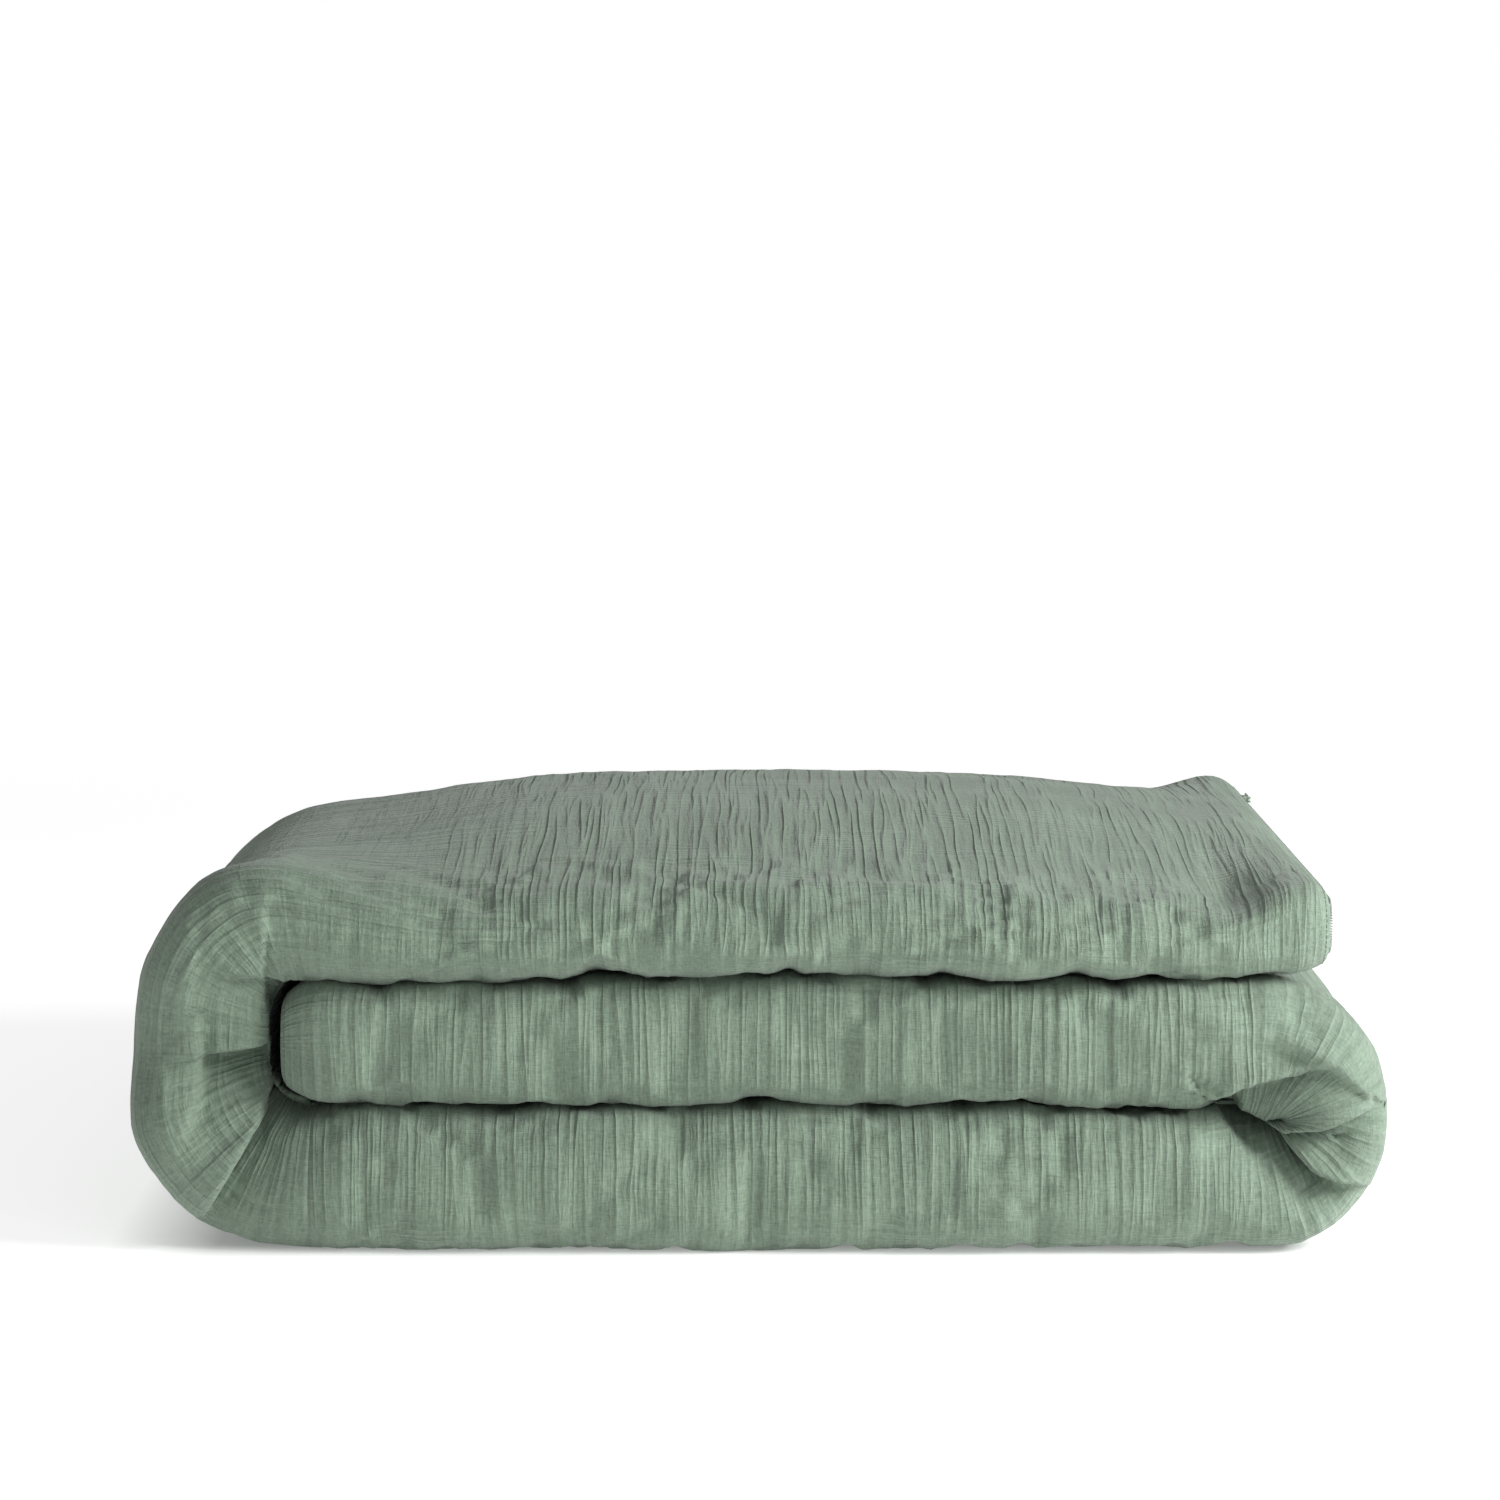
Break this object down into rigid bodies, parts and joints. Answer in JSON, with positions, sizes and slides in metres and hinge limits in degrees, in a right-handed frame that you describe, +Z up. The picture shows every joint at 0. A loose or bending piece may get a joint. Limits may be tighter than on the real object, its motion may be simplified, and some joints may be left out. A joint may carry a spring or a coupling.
{
  "type": "folded duvet",
  "caption": "Filled duvet inside a zipped crinkle-cotton cover, halved and then letter-folded into a flat stack, with a top flap that unfolds and a sliding zip.",
  "frame": {"origin": "centre of the underside of the folded stack, midway across its overall width and depth", "axes": "+X across the stack towards the free foot end with the zip, -Y towards the half fold that shows at the front, +Y towards the open side seams, +Z up through the layers"},
  "size_m": [0.78, 0.76, 0.256],
  "materials": {
    "cover": "matte",
    "ticking": "matte",
    "filling": "matte",
    "tie": "matte",
    "loop": "matte",
    "label": "satin",
    "zip_tape": "matte",
    "zip_coil": "satin",
    "zip_metal": "satin"
  },
  "bodies": {
    "base": {"cover_face_base": "cover", "cover_back_base": "cover", "ticking_face_base": "ticking", "ticking_back_base": "ticking", "filling_base": "filling", "cover_face_bend": "cover", "cover_back_bend": "cover", "ticking_face_bend": "ticking", "ticking_back_bend": "ticking", "filling_bend": "filling", "cover_tie_head_outer": "tie", "cover_tie_head_inner": "tie", "insert_loop_head_outer": "loop", "insert_loop_head_inner": "loop"},
    "top_flap": {"cover_face_top": "cover", "cover_back_top": "cover", "ticking_face_top": "ticking", "ticking_back_top": "ticking", "filling_top": "filling", "zip_tape_face": "zip_tape", "zip_tape_back": "zip_tape", "zip_coil": "zip_coil", "zip_top_stop": "zip_metal", "zip_bottom_stop": "zip_metal", "cover_tie_foot_outer": "tie", "cover_tie_foot_inner": "tie", "insert_loop_foot_outer": "loop", "insert_loop_foot_inner": "loop", "care_label": "label"},
    "zip_slider": {"zip_slider": "zip_metal"},
    "zip_pull": {"zip_pull": "zip_metal"}
  },
  "joints": [
    {"name": "top_flap_fold", "type": "hinge", "parent": "base", "child": "top_flap", "pos_m": [-0.3, 0, 0.128], "axis": [0, -1, 0], "range_deg": [0, 179], "deforming": ["cover_face_bend", "cover_back_bend", "ticking_face_bend", "ticking_back_bend", "filling_bend"]},
    {"name": "zip_slide", "type": "slide", "parent": "top_flap", "child": "zip_slider", "axis": [0, -1, 0], "range_m": [0, 0.5]},
    {"name": "zip_pull_swing", "type": "hinge", "parent": "zip_slider", "child": "zip_pull", "pos_m": [0.36, 0.2119, 0.219], "axis": [0, 0, -1], "range_deg": [0, 170]}
  ]
}
